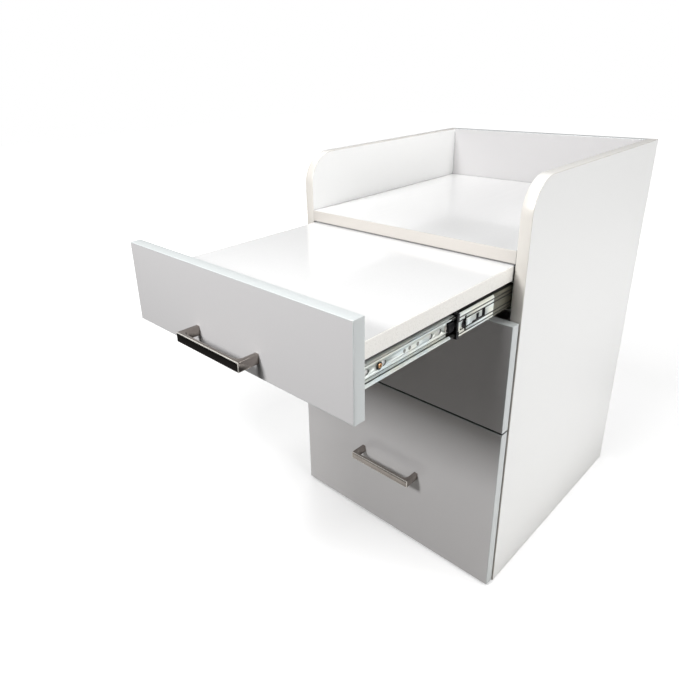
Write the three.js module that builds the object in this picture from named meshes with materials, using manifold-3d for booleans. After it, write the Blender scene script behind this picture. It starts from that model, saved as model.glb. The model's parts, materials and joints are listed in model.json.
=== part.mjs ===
// Compact manicure table: a drawer cabinet whose top drawer is a pull-out table.
//
// Millimetres, +Z up. X runs along the fronts, +Y towards the back panel. The origin is the centre of
// the cabinet's underside, which stands on the floor. The model is posed with the two drawers shut and
// the pull-out table drawn out by TABLE_OPEN, the way the table is used.
//
// Boards are laminated chipboard with gaps of JOIN where they meet. The drawers and the table run on
// three-part ball-bearing slides: an outer member on the cabinet side, a middle member, and an inner
// member on the drawer.
import * as THREE from "three";
import { mergeVertices } from "three/addons/utils/BufferGeometryUtils.js";
import Module from "manifold-3d";

// ---- driving dimensions -------------------------------------------------------------------------

const CABINET_WIDTH = 400;
const CABINET_DEPTH = 438; // the side panels, front edge to back edge
const SIDE_HEIGHT = 643; // the side panels rise past the worktop and guard it
const SIDE_CORNER = 50; // radius of a side panel's front top corner
const BOARD = 16; // sides, back, bottom, fronts and drawer boxes
const JOIN = 0.1; // hairline left between two boards that meet

const WORKTOP_Z = 550; // upper face of the fixed worktop
const WORKTOP_THICK = 18;
const TABLE_Z = 530; // upper face of the pull-out table
const TABLE_THICK = 20.5;
const TABLE_SIDE_GAP = 1.5; // between the table and each side panel
const TABLE_OPEN = 311; // how far the table is drawn out as modelled

const FRONT_WIDTH = 397;
const FRONT_GAP = 2; // between a shut front and the side panels' front edges
const TABLE_FRONT = { low: 457, high: 568 };
const MIDDLE_FRONT = { low: 288.5, high: 454 };
const BOTTOM_FRONT = { low: 3, high: 285.5 };

const MIDDLE_BOX = { low: 300, high: 430, slideZ: 345 };
const BOTTOM_BOX = { low: 28, high: 248, slideZ: 75 };
const BOX_LENGTH = 400;
const BOX_BOTTOM_THICK = 3;
const TABLE_SLIDE_Z = 487;
const TABLE_RAIL_LOW = 471;

const HANDLE = { length: 119, depth: 29, height: 12.5, bar: 5, leg: 6.6, fillet: 8, edge: 0.7 };
const TABLE_HANDLE_Z = 482;
const MIDDLE_HANDLE_Z = 372;
const BOTTOM_HANDLE_Z = 140;
const HANDLE_SCREW = { radius: 2, head: 4, headThick: 2.4, intoLeg: 8, hole: 2.5, legHole: 2.3 };

const SLIDE_DEPTH = 12.7; // side panel to drawer box
const SLIDE_LENGTH = 400;
const MIDDLE_LENGTH = 360;
const MIDDLE_SETBACK = 31; // how far a shut middle member's front end stands behind the outer member's
const SLIDE_SCREW = { at: 50.5, radius: 1.7, head: 3.7, headThick: 2.1, length: 13 };
const SLIDE_SCREW_HOLE = 2.2;

// ---- places worked out from them ----------------------------------------------------------------

const SIDE_FRONT_Y = -CABINET_DEPTH / 2;
const BACK_FACE_Y = CABINET_DEPTH / 2 - BOARD; // inner face of the back panel
const FRONT_BACK_Y = SIDE_FRONT_Y - FRONT_GAP; // rear face of a shut front
const INNER_X = CABINET_WIDTH / 2 - BOARD; // inner face of a side panel
const BOX_X = INNER_X - SLIDE_DEPTH; // outer face of a drawer box
const SLIDE_FRONT_Y = SIDE_FRONT_Y + 2;
const INNER_MEMBER_Y = FRONT_BACK_Y + 2;
const HANDLE_SCREW_X = (HANDLE.length - HANDLE.leg) / 2;

// ---- materials ----------------------------------------------------------------------------------

const material = (color, roughness, metalness = 0) =>
  new THREE.MeshStandardMaterial({ color, roughness, metalness });
const WHITE_BOARD = material("#f1f1ef", 0.35);
const WHITE_GLOSS = material("#f6f6f5", 0.12);
const GREY_BOARD = material("#c6c4c4", 0.3);
const BOX_BOARD = material("#ececea", 0.45);
const HARDBOARD = material("#e4e2de", 0.6);
const NICKEL = material("#a39a92", 0.2, 1);
const ZINC = material("#cdd6d8", 0.35, 1);
const BRONZE_SCREW = material("#b07a4e", 0.35, 1);
const BLACK_PLASTIC = material("#17181a", 0.5);

// ---- solids -------------------------------------------------------------------------------------

const wasm = await Module();
wasm.setup();

const X = new THREE.Vector3(1, 0, 0);
const Y = new THREE.Vector3(0, 1, 0);
const Z = new THREE.Vector3(0, 0, 1);
// An outline drawn in (y, z) and extruded along +X, and one drawn in (x, z) and extruded along -Y.
const ALONG_X = new THREE.Matrix4().makeBasis(Y, Z, X);
const ALONG_Y = new THREE.Matrix4().makeBasis(X, Z, Y.clone().negate());

const extrude = (shape, depth, options = {}) =>
  new THREE.ExtrudeGeometry(shape, { depth, bevelEnabled: false, curveSegments: 8, ...options });

// The box between two corners.
function block(low, high) {
  const size = high.map((value, i) => value - low[i]);
  const centre = high.map((value, i) => (value + low[i]) / 2);
  return new THREE.BoxGeometry(...size).translate(...centre);
}

// A cylinder along X or Y, from `from` to `to` on that axis.
function rod(axis, radius, from, to, [a, b], sides = 12) {
  const geometry = new THREE.CylinderGeometry(radius, radius, to - from, sides);
  const middle = (from + to) / 2;
  if (axis === "x") return geometry.rotateZ(Math.PI / 2).translate(middle, a, b);
  return geometry.translate(a, middle, b);
}

function toSolid(geometry) {
  const bare = geometry.clone();
  for (const name of Object.keys(bare.attributes)) {
    if (name !== "position") bare.deleteAttribute(name);
  }
  const merged = mergeVertices(bare, 1e-4);
  return new wasm.Manifold(
    new wasm.Mesh({
      numProp: 3,
      vertProperties: merged.attributes.position.array,
      triVerts: new Uint32Array(merged.index.array),
    }),
  );
}

function toGeometry(solid) {
  const { vertProperties, triVerts } = solid.getMesh();
  return new THREE.BufferGeometry()
    .setAttribute("position", new THREE.BufferAttribute(vertProperties, 3))
    .setIndex(new THREE.BufferAttribute(triVerts, 1))
    .toNonIndexed();
}

// `base` with the `cuts` taken away and the `adds` joined on.
function combine(base, cuts, adds = []) {
  let solid = toSolid(base);
  for (const cut of cuts) solid = solid.subtract(toSolid(cut));
  for (const add of adds) solid = solid.add(toSolid(add));
  const geometry = toGeometry(solid);
  geometry.computeVertexNormals();
  return geometry;
}

function piece(parent, name, geometry, finish) {
  const mesh = new THREE.Mesh(geometry, finish);
  mesh.name = name;
  parent.add(mesh);
  return mesh;
}

function groupAt(parent, x, y, z) {
  const group = new THREE.Group();
  group.position.set(x, y, z);
  parent.add(group);
  return group;
}

// ---- the cabinet --------------------------------------------------------------------------------

// A side panel's outline in (y, z), with its front top corner rounded.
function sideOutline() {
  const back = CABINET_DEPTH / 2;
  const shape = new THREE.Shape();
  shape.moveTo(-back, 0);
  shape.lineTo(back, 0);
  shape.lineTo(back, SIDE_HEIGHT);
  shape.lineTo(SIDE_CORNER - back, SIDE_HEIGHT);
  shape.absarc(SIDE_CORNER - back, SIDE_HEIGHT - SIDE_CORNER, SIDE_CORNER, Math.PI / 2, Math.PI);
  return shape;
}

function addCabinet(root) {
  const side = extrude(sideOutline(), BOARD, { curveSegments: 24 }).applyMatrix4(ALONG_X);
  piece(root, "left_side_panel", side, WHITE_BOARD).position.x = -CABINET_WIDTH / 2;
  piece(root, "right_side_panel", side, WHITE_BOARD).position.x = INNER_X;

  const x = INNER_X - JOIN;
  const worktop = block([-x, SIDE_FRONT_Y, WORKTOP_Z - WORKTOP_THICK], [x, BACK_FACE_Y - JOIN, WORKTOP_Z]);
  piece(root, "worktop", worktop, WHITE_GLOSS);
  const bottom = block([-x, SIDE_FRONT_Y, 0], [x, BACK_FACE_Y - JOIN, BOARD]);
  piece(root, "bottom_panel", bottom, WHITE_BOARD);
  const back = block([-x, BACK_FACE_Y, 0], [x, BACK_FACE_Y + BOARD, SIDE_HEIGHT]);
  piece(root, "back_panel", back, GREY_BOARD);
}

// ---- fronts, handles and their screws -----------------------------------------------------------

// Two holes for the handle's screws, along Y, through what lies between `from` and `to`.
const handleHoles = (radius, from, to, z) =>
  [-HANDLE_SCREW_X, HANDLE_SCREW_X].map((x) => rod("y", radius, from, to, [x, z]));

function frontPanel({ low, high }, handleZ) {
  const half = FRONT_WIDTH / 2;
  const face = FRONT_BACK_Y - BOARD;
  const board = block([-half, face, low], [half, FRONT_BACK_Y, high]);
  return combine(board, handleHoles(HANDLE_SCREW.hole, face - 1, FRONT_BACK_Y + 1, handleZ));
}

// A square bow handle: the outline in (x, y) is a bar with two legs and rounded inner corners.
function handleGeometry(z) {
  const { length, depth, height, bar, leg, fillet, edge } = HANDLE;
  const wall = FRONT_BACK_Y - BOARD - JOIN;
  const front = wall - depth + edge;
  const outer = length / 2 - edge;
  const inner = length / 2 - leg + edge;
  const arcX = inner - fillet;
  const arcY = front + bar + fillet - 2 * edge;
  const shape = new THREE.Shape();
  shape.moveTo(-outer, wall);
  shape.lineTo(-outer, front);
  shape.lineTo(outer, front);
  shape.lineTo(outer, wall);
  shape.lineTo(inner, wall);
  shape.absarc(arcX, arcY, fillet, 0, -Math.PI / 2, true);
  shape.absarc(-arcX, arcY, fillet, -Math.PI / 2, -Math.PI, true);
  shape.lineTo(-inner, wall);
  const body = extrude(shape, height - 2 * edge, {
    bevelEnabled: true,
    bevelSize: edge,
    bevelThickness: edge,
    bevelSegments: 1,
  }).translate(0, 0, z - height / 2 + edge);
  // The bevel runs round the legs' ends too, so the handle is cut square where it meets the front.
  const beyond = block([-length, wall, z - height], [length, wall + 2 * edge, z + height]);
  const threads = handleHoles(HANDLE_SCREW.legHole, wall - HANDLE_SCREW.intoLeg - 1, wall + 1, z);
  return combine(body, [beyond, ...threads]);
}

function screwGeometry(axis, { radius, head, headThick }, headAt, tip, place) {
  const direction = Math.sign(headAt - tip);
  const shank = direction > 0 ? [tip, headAt] : [headAt, tip];
  const cap = direction > 0 ? [headAt, headAt + headThick] : [headAt - headThick, headAt];
  return combine(rod(axis, radius, ...shank, place), [], [rod(axis, head, ...cap, place, 16)]);
}

// A handle and its two screws. `headY` is the face the screw heads bear on.
function addHandle(group, prefix, z, headY) {
  piece(group, `${prefix}_handle`, handleGeometry(z), NICKEL);
  const tip = FRONT_BACK_Y - BOARD - HANDLE_SCREW.intoLeg;
  for (const [sideName, x] of [["left", -HANDLE_SCREW_X], ["right", HANDLE_SCREW_X]]) {
    const screw = screwGeometry("y", HANDLE_SCREW, headY + JOIN, tip, [x, z]);
    piece(group, `${prefix}_handle_screw_${sideName}`, screw, ZINC);
  }
}

// ---- ball-bearing slides ------------------------------------------------------------------------
// A slide is drawn in its own frame, for the right of the cabinet: x is 0 at the side panel and negative
// towards the drawer, z is measured from its centre line, and y from its front end. The left-hand slides
// are the same pieces turned upside down, as they are when a pair is fitted.

// Each member is bent from sheet. Web, lip and track are distances from the side panel: where its web
// stands, where its flanges end, and where the ball track is rolled into them over twice `reach`. A positive
// roll bulges away from the centre line. Web and flange meet in a bend of radius `corner`.
const OUTER = { sheet: 1.2, half: 20.4, web: 0.7, lip: 10.2, corner: 2, track: 6, reach: 1.5, roll: 0.6 };
const MIDDLE = { sheet: 1, half: 16.3, web: 2.8, lip: 11, corner: 3.2, track: 8.4, reach: 1.5, roll: -0.6 };
const INNER = {
  sheet: 1.2,
  half: 12.5,
  web: SLIDE_DEPTH - 0.7,
  lip: 4.3,
  corner: 1.2,
  track: 6.6,
  reach: 1.9,
  roll: -1.6,
};
const TRACK_STEPS = 2;
const CORNER_STEPS = 3;
const CUT_REACH = 1.5; // how far a cutter goes to each side of a web's centre line
const OUTER_HOLES = [35, 230, 370];
const INNER_HOLES = { round: [30.2, 58.4, 142.5, 160], radius: 3.4, slots: [330, 360], slotLength: 4 };

// The release lever turns on a rivet in the inner member's web. Its arm ends in a tab that stands up, so
// that the tab can be pressed down by a small turn.
const LEVER = {
  pivotY: 196,
  rivet: 1.5,
  hole: 1.8,
  hub: 5,
  arm: 3.5,
  reach: 22,
  tab: 9,
  low: -6,
  high: 6.5,
  near: 6.4,
  far: 10.8,
};
const FRONT_SLOT = { front: 11.5, rear: 15, low: -11.5, high: 9.5, holeAt: 9.7, holeRadius: 5.4 };
// The tab that stands forward of a middle member's web, between these heights, and the plastic guard clipped
// on the member's front end, with a notch behind its front wall for that tab.
const FRONT_TAB = { low: -7, high: 5, length: 2.6 };
const GUARD = {
  near: 2,
  face: 3.9,
  lip: 10.5,
  half: 16.2,
  wall: 2.6,
  length: 5,
  gap: 0.3,
  notch: 3,
  notchGap: 0.5,
};

// The sheet's centre line over one flange, from the lip to the web.
function flangeLine({ sheet, half, web, lip, corner, track, reach, roll }) {
  const flat = half - sheet / 2;
  const towardsWeb = Math.sign(web - lip);
  const points = [[lip, flat]];
  for (let i = 0; i <= TRACK_STEPS; i += 1) {
    const share = i / TRACK_STEPS;
    const x = track + towardsWeb * reach * (2 * share - 1);
    points.push([x, flat + roll * Math.sin(Math.PI * share) ** 2]);
  }
  for (let i = 0; i <= CORNER_STEPS; i += 1) {
    const turn = (Math.PI / 2) * (i / CORNER_STEPS);
    const x = web - towardsWeb * corner * (1 - Math.sin(turn));
    points.push([x, flat - corner * (1 - Math.cos(turn))]);
  }
  return points;
}

// The closed outline of a bent sheet, from its centre line and thickness, in (-x, z).
function sheetOutline(line, thickness) {
  const points = line.map(([x, z]) => new THREE.Vector2(-x, z));
  const offset = (side) =>
    points.map((point, i) => {
      const before = points[Math.max(i - 1, 0)];
      const after = points[Math.min(i + 1, points.length - 1)];
      const along = after.clone().sub(before).normalize();
      const normal = new THREE.Vector2(-along.y, along.x);
      return point.clone().addScaledVector(normal, (side * thickness) / 2);
    });
  return new THREE.Shape([...offset(1), ...offset(-1).reverse()]);
}

function channel(member, length) {
  const upper = flangeLine(member);
  const lower = upper.map(([x, z]) => [x, -z]).reverse();
  const outline = sheetOutline([...upper, ...lower], member.sheet);
  return extrude(outline, length).applyMatrix4(ALONG_Y).translate(0, length, 0);
}

// A cutter through a member's web with the given outline in (y, z).
const webCutter = (member, shape) =>
  extrude(shape, 2 * CUT_REACH, { curveSegments: 4 })
    .applyMatrix4(ALONG_X)
    .translate(-member.web - CUT_REACH, 0, 0);

// A slot `length` long between the centres of its round ends, or a round hole where length is 0.
function webSlot(member, y, length, radius) {
  const shape = new THREE.Shape();
  shape.absarc(y + length / 2, 0, radius, -Math.PI / 2, Math.PI / 2);
  shape.absarc(y - length / 2, 0, radius, Math.PI / 2, (Math.PI * 3) / 2);
  return webCutter(member, shape);
}

const webWindow = (member, corners) =>
  webCutter(member, new THREE.Shape(corners.map(([y, z]) => new THREE.Vector2(y, z))));

const rectangle = (y0, y1, z0, z1) => [
  [y0, z0],
  [y1, z0],
  [y1, z1],
  [y0, z1],
];

function outerMember() {
  const holes = OUTER_HOLES.map((y) => webSlot(OUTER, y, 0, SLIDE_SCREW_HOLE));
  return combine(channel(OUTER, SLIDE_LENGTH), holes);
}

// The slot across a middle member's front end, from its front edge to its rear edge, opens on its front side
// into a half-round hole behind the tab.
function frontSlot() {
  const { front, rear, low, high, holeAt, holeRadius } = FRONT_SLOT;
  const shape = new THREE.Shape();
  shape.moveTo(front, high);
  shape.lineTo(front, holeRadius);
  shape.absarc(holeAt, 0, holeRadius, Math.PI / 2, (Math.PI * 3) / 2);
  shape.lineTo(front, -holeRadius);
  shape.lineTo(front, low);
  shape.lineTo(rear, low);
  shape.lineTo(rear, high);
  return shape;
}

// Behind the slot, the middle member has a hook-shaped window that the latch works in, and a plain window
// near its rear end.
function middleMember() {
  const hook = [
    [29, -5.8],
    [58.5, -5.8],
    [58.5, 5.4],
    [51, 5.4],
    [51, -3.2],
    [44, -3.2],
    [44, 4],
    [37.5, 4],
    [37.5, -3.2],
    [29, -3.2],
  ];
  const cuts = [
    webCutter(MIDDLE, frontSlot()),
    webWindow(MIDDLE, hook),
    webWindow(MIDDLE, rectangle(300, 330, -4, 4)),
  ];
  const { low, high, length } = FRONT_TAB;
  const [near, far] = [MIDDLE.web - MIDDLE.sheet / 2, MIDDLE.web + MIDDLE.sheet / 2];
  const tab = block([-far, -length, low], [-near, 1, high]);
  return combine(channel(MIDDLE, MIDDLE_LENGTH), cuts, [tab]);
}

// The inner member carries the rivet that its release lever turns on.
function innerMember() {
  const { round, radius, slots, slotLength } = INNER_HOLES;
  const cuts = round.map((y) => webSlot(INNER, y, 0, radius));
  cuts.push(...slots.map((y) => webSlot(INNER, y, slotLength, SLIDE_SCREW_HOLE)));
  cuts.push(webSlot(INNER, SLIDE_SCREW.at, 0, SLIDE_SCREW_HOLE));
  const rivet = rod("x", LEVER.rivet, -INNER.web, 0.4 - LEVER.near, [LEVER.pivotY, 0]);
  return combine(channel(INNER, SLIDE_LENGTH), cuts, [rivet]);
}

// The release lever's outline in (y, z): a hub on the rivet and an arm that ends in a broad thumb tab.
function releaseLever() {
  const { pivotY, hole, hub, arm, reach, tab, low, high, near, far } = LEVER;
  const armMeetsHub = Math.PI - Math.asin(arm / hub);
  const tip = pivotY - reach;
  const shape = new THREE.Shape();
  shape.moveTo(tip, high);
  shape.lineTo(tip, low);
  shape.lineTo(tip + tab, low);
  shape.lineTo(tip + tab + 1, -arm);
  shape.absarc(pivotY, 0, hub, -armMeetsHub, armMeetsHub);
  shape.lineTo(tip + tab + 1, arm);
  shape.lineTo(tip + tab, high);
  const body = extrude(shape, far - near, { curveSegments: 6 }).applyMatrix4(ALONG_X).translate(-far, 0, 0);
  return combine(body, [rod("x", hole, -far - 1, 1 - near, [pivotY, 0])]);
}

// A channel-shaped cap that shields the end of the middle member and its balls.
function endGuard() {
  const { near, face, lip, half, wall, length, gap, notch, notchGap } = GUARD;
  const corners = [
    [near, -half],
    [lip, -half],
    [lip, wall - half],
    [face, wall - half],
    [face, half - wall],
    [lip, half - wall],
    [lip, half],
    [near, half],
  ];
  const shape = new THREE.Shape(corners.map(([x, z]) => new THREE.Vector2(-x, z)));
  const cap = extrude(shape, length).applyMatrix4(ALONG_Y).translate(0, -gap, 0);
  const forTab = block(
    [-face - 1, -gap - notch, FRONT_TAB.low - notchGap],
    [1 - near, 1, FRONT_TAB.high + notchGap],
  );
  return combine(cap, [forTab]);
}

const SLIDE_PARTS = {
  outer: outerMember(),
  middle: middleMember(),
  inner: innerMember(),
  lever: releaseLever(),
  guard: endGuard(),
};

// The pair of slides of one drawer, drawn out by `open`. The outer members stay on the cabinet.
function addSlides(cabinet, drawer, prefix, z, { open = 0, guarded = false } = {}) {
  for (const [sideName, side] of [["left", -1], ["right", 1]]) {
    const turn = (group) => {
      if (side < 0) group.rotation.y = Math.PI;
      return group;
    };
    const x = side * (INNER_X - JOIN);
    const fixed = turn(groupAt(cabinet, x, SLIDE_FRONT_Y, z));
    piece(fixed, `${prefix}_slide_outer_${sideName}`, SLIDE_PARTS.outer, ZINC);
    const halfway = turn(groupAt(cabinet, x, SLIDE_FRONT_Y + MIDDLE_SETBACK - open / 2, z));
    piece(halfway, `${prefix}_slide_middle_${sideName}`, SLIDE_PARTS.middle, ZINC);
    if (guarded) piece(halfway, `${prefix}_slide_guard_${sideName}`, SLIDE_PARTS.guard, BLACK_PLASTIC);
    const moving = turn(groupAt(drawer, x, INNER_MEMBER_Y, z));
    piece(moving, `${prefix}_slide_inner_${sideName}`, SLIDE_PARTS.inner, ZINC);
    piece(moving, `${prefix}_release_lever_${sideName}`, SLIDE_PARTS.lever, BLACK_PLASTIC);
  }
}

// ---- the pull-out table -------------------------------------------------------------------------

function addTable(root) {
  const table = groupAt(root, 0, -TABLE_OPEN, 0);
  const front = FRONT_BACK_Y + JOIN;
  const half = INNER_X - TABLE_SIDE_GAP;
  const underside = TABLE_Z - TABLE_THICK;
  piece(table, "table_front", frontPanel(TABLE_FRONT, TABLE_HANDLE_Z), GREY_BOARD);
  const top = block([-half, front, underside], [half, front + BOX_LENGTH, TABLE_Z]);
  piece(table, "table_top", top, WHITE_GLOSS);

  // A rail under each side of the table carries its slide, held here by its foremost screw.
  const screwY = INNER_MEMBER_Y + SLIDE_SCREW.at;
  const bearing = BOX_X + 1.4;
  const tip = BOX_X - SLIDE_SCREW.length;
  for (const [sideName, side] of [["left", -1], ["right", 1]]) {
    const xs = [side * (BOX_X - BOARD), side * (BOX_X - JOIN)].sort((a, b) => a - b);
    const board = block([xs[0], front, TABLE_RAIL_LOW], [xs[1], front + BOX_LENGTH, underside - JOIN]);
    const reach = [side * (tip - 1), side * (BOX_X + 1)].sort((a, b) => a - b);
    const hole = rod("x", SLIDE_SCREW_HOLE, ...reach, [screwY, TABLE_SLIDE_Z]);
    piece(table, `table_rail_${sideName}`, combine(board, [hole]), BOX_BOARD);
    const place = [screwY, TABLE_SLIDE_Z];
    const screw = screwGeometry("x", SLIDE_SCREW, side * bearing, side * tip, place);
    piece(table, `table_slide_screw_${sideName}`, screw, BRONZE_SCREW);
  }
  addHandle(table, "table", TABLE_HANDLE_Z, FRONT_BACK_Y);
  addSlides(root, table, "table", TABLE_SLIDE_Z, { open: TABLE_OPEN, guarded: true });
}

// ---- the drawers --------------------------------------------------------------------------------

// A drawer: a front on a four-sided box with a hardboard bottom fixed under it.
function addDrawer(root, prefix, frontSpan, box, handleZ) {
  const drawer = groupAt(root, 0, 0, 0);
  const front = FRONT_BACK_Y + JOIN;
  const rear = front + BOX_LENGTH;
  const inside = BOX_X - BOARD - JOIN;
  const outside = BOX_X - JOIN;
  piece(drawer, `${prefix}_front`, frontPanel(frontSpan, handleZ), GREY_BOARD);

  const sideBoard = (x0, x1) => block([x0, front, box.low], [x1, rear, box.high]);
  piece(drawer, `${prefix}_box_left`, sideBoard(-outside, -inside - JOIN), BOX_BOARD);
  piece(drawer, `${prefix}_box_right`, sideBoard(inside + JOIN, outside), BOX_BOARD);
  const inner = block([-inside, front, box.low], [inside, front + BOARD, box.high]);
  const holes = handleHoles(HANDLE_SCREW.hole, front - 1, front + BOARD + 1, handleZ);
  piece(drawer, `${prefix}_box_front`, combine(inner, holes), BOX_BOARD);
  const back = block([-inside, rear - BOARD, box.low], [inside, rear, box.high]);
  piece(drawer, `${prefix}_box_back`, back, BOX_BOARD);
  const floorTop = box.low - JOIN;
  const floor = block([-outside, front, floorTop - BOX_BOTTOM_THICK], [outside, rear, floorTop]);
  piece(drawer, `${prefix}_box_bottom`, floor, HARDBOARD);

  addHandle(drawer, prefix, handleZ, front + BOARD);
  addSlides(root, drawer, prefix, box.slideZ);
}

// ---- the whole object ---------------------------------------------------------------------------

const manicureTable = new THREE.Group();
addCabinet(manicureTable);
addTable(manicureTable);
addDrawer(manicureTable, "middle_drawer", MIDDLE_FRONT, MIDDLE_BOX, MIDDLE_HANDLE_Z);
addDrawer(manicureTable, "bottom_drawer", BOTTOM_FRONT, BOTTOM_BOX, BOTTOM_HANDLE_Z);

export default manicureTable;
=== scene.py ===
"""The looks of a compact manicure table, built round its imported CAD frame.

Everything is in metres in the frame's own axes: +X to the right of a person facing the fronts, +Y towards
the back panel, +Z up. Places and sizes come from the CAD nodes' boxes. Each board, slide member, handle
and screw is rebuilt with its real edges and stands in for its CAD node.
"""

import json
import math

import bmesh
import bpy
from mathutils import Matrix, Vector


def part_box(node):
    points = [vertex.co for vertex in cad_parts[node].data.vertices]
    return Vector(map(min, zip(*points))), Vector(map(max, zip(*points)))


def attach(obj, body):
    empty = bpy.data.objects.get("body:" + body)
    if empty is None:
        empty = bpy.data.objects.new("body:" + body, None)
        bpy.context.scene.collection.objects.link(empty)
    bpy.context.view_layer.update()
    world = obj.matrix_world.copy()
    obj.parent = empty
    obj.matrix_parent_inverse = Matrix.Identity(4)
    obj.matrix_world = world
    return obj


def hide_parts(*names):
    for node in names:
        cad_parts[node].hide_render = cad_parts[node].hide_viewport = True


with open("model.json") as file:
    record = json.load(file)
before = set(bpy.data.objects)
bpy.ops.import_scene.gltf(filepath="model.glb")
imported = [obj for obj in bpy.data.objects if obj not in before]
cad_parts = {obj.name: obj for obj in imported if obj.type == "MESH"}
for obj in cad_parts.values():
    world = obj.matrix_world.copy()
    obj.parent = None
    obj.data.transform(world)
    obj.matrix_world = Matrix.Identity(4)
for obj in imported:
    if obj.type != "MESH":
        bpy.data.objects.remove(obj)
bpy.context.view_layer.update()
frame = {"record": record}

MM = 0.001
NODE_BODY = {n: body for body, nodes in frame["record"]["behaviour"]["bodies"].items() for n in nodes}
DRAWERS = ("middle_drawer", "bottom_drawer")
RUNNERS = ("table",) + DRAWERS
SIDES = (("left", -1), ("right", 1))


# ---- materials ---------------------------------------------------------------------------------

class Shader:
    """A Principled material with short ways to add procedural detail in the object's own metres."""

    def __init__(self, name, **inputs):
        self.material = bpy.data.materials.new(name)
        self.material.use_nodes = True
        self.tree = self.material.node_tree
        self.principled = self.tree.nodes["Principled BSDF"]
        self.normal = None
        for key, value in inputs.items():
            self.principled.inputs[key.replace("_", " ")].default_value = value

    def node(self, kind, inputs=(), **settings):
        """A node with its inputs set to values or linked to sockets."""
        node = self.tree.nodes.new(kind)
        for key, value in settings.items():
            setattr(node, key, value)
        for key, value in dict(inputs).items():
            if isinstance(value, bpy.types.NodeSocket):
                self.tree.links.new(value, node.inputs[key])
            else:
                node.inputs[key].default_value = value
        return node

    def place(self, stretch=(1, 1, 1)):
        coordinates = self.node("ShaderNodeTexCoord").outputs["Object"]
        return self.node("ShaderNodeMapping", {"Vector": coordinates, "Scale": stretch}).outputs["Vector"]

    def noise(self, size, stretch=(1, 1, 1), detail=3.0, rough=0.55):
        """Noise whose blobs are about `size` metres across, in 0 to 1."""
        inputs = {"Vector": self.place(stretch), "Scale": 1 / size, "Detail": detail, "Roughness": rough}
        return self.node("ShaderNodeTexNoise", inputs).outputs["Fac"]

    def cells(self, size, stretch=(1, 1, 1)):
        """Distance to the nearest of points about `size` metres apart."""
        inputs = {"Vector": self.place(stretch), "Scale": 1 / size}
        return self.node("ShaderNodeTexVoronoi", inputs).outputs["Distance"]

    def remap(self, value, low, high, start=0.35, stop=0.65):
        """`low` to `high` as `value` goes from `start` to `stop`."""
        inputs = {"Value": value, "From Min": start, "From Max": stop, "To Min": low, "To Max": high}
        return self.node("ShaderNodeMapRange", inputs).outputs["Result"]

    def ramp(self, value, *stops):
        """Colours along `value`: each stop is (position, colour)."""
        ramp = self.node("ShaderNodeValToRGB", {"Fac": value})
        elements = ramp.color_ramp.elements
        while len(elements) < len(stops):
            elements.new(0.5)
        for element, (position, colour) in zip(elements, stops):
            element.position = position
            element.color = (*colour, 1)
        return ramp.outputs["Color"]

    def mix(self, share, first, second):
        """A colour that is `first` where `share` is 0 and `second` where it is 1."""
        return self.node("ShaderNodeMix", {0: share, 6: first, 7: second}, data_type="RGBA").outputs[2]

    def with_painted_gap_shade(self, colour, reach):
        """A colour with painted shade: it darkens where another face stands closer than `reach`."""
        openness = self.node("ShaderNodeAmbientOcclusion", {"Distance": reach}).outputs["AO"]
        return self.mix(self.remap(openness, 0, 1, 0.45, 0.9), (0.02, 0.02, 0.02, 1), colour)

    def drive(self, key, value):
        self.tree.links.new(value, self.principled.inputs[key])

    def bump(self, height, distance, strength=1.0):
        inputs = {"Height": height, "Distance": distance, "Strength": strength}
        if self.normal:
            inputs["Normal"] = self.normal
        self.normal = self.node("ShaderNodeBump", inputs).outputs["Normal"]
        self.drive("Normal", self.normal)


def shade(colour, factor):
    return tuple(min(1.0, c * factor) for c in colour)


def laminate(name, colour, roughness):
    """Melamine-faced board: a faint mottle, a fine pressed texture and slight waves in the face."""
    s = Shader(name, Roughness=roughness, Specular_IOR_Level=0.5)
    mottle = s.noise(0.0012, detail=3)
    s.drive("Base Color", s.ramp(mottle, (0.3, shade(colour, 0.985)), (0.7, shade(colour, 1.005))))
    s.drive("Roughness", s.remap(s.noise(0.0015, detail=2), roughness * 0.96, roughness * 1.04))
    s.bump(s.noise(0.0007, detail=2), 0.008 * MM, 0.5)
    s.bump(s.noise(0.12, detail=1), 0.06 * MM, 0.5)
    return s.material


def gloss(name, colour):
    """High-gloss laminate: a clear sharp reflection with slight waves and hair-fine wipe marks."""
    s = Shader(name, Roughness=0.16, Coat_Weight=0.15, Coat_Roughness=0.05)
    specks = s.noise(0.0015, detail=3)
    s.drive("Base Color", s.ramp(specks, (0.3, shade(colour, 0.975)), (0.7, shade(colour, 1.01))))
    marks = s.noise(0.004, (1, 0.04, 1), detail=6, rough=0.7)
    s.drive("Roughness", s.remap(marks, 0.13, 0.2))
    s.bump(s.noise(0.045), 0.06 * MM, 0.5)
    return s.material


def edge_band(name, colour, roughness=0.32, crease=5 * MM, upper=None):
    """Extruded edge banding: a fine mottle, a slightly waxy sheen and painted shade within `crease` of a
    neighbour.

    Where `upper` is given, the faces that look up take that paler colour and the upright ones keep `colour`:
    painted light, for the light that falls differently on them.
    """
    s = Shader(name, Roughness=roughness, Coat_Weight=0.15, Coat_Roughness=0.2)
    colours = s.ramp(s.noise(0.0015), (0.3, shade(colour, 0.985)), (0.7, shade(colour, 1.005)))
    # Painted light: upward faces paler, upright faces warmer and darker.
    if upper:
        normal = s.node("ShaderNodeNewGeometry").outputs["Normal"]
        facing = s.node("ShaderNodeSeparateXYZ", {0: normal}).outputs["Z"]
        colours = s.mix(s.remap(facing, 0, 1, 0.6, 0.9), colours, (*upper, 1))
    # Painted shade: the band turns dark close to a neighbouring face.
    s.drive("Base Color", s.with_painted_gap_shade(colours, crease) if crease else colours)
    s.drive("Roughness", s.remap(s.noise(0.0015), roughness * 0.96, roughness * 1.04))
    s.bump(s.noise(0.0008, detail=2), 0.002 * MM, 0.5)
    return s.material


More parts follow.
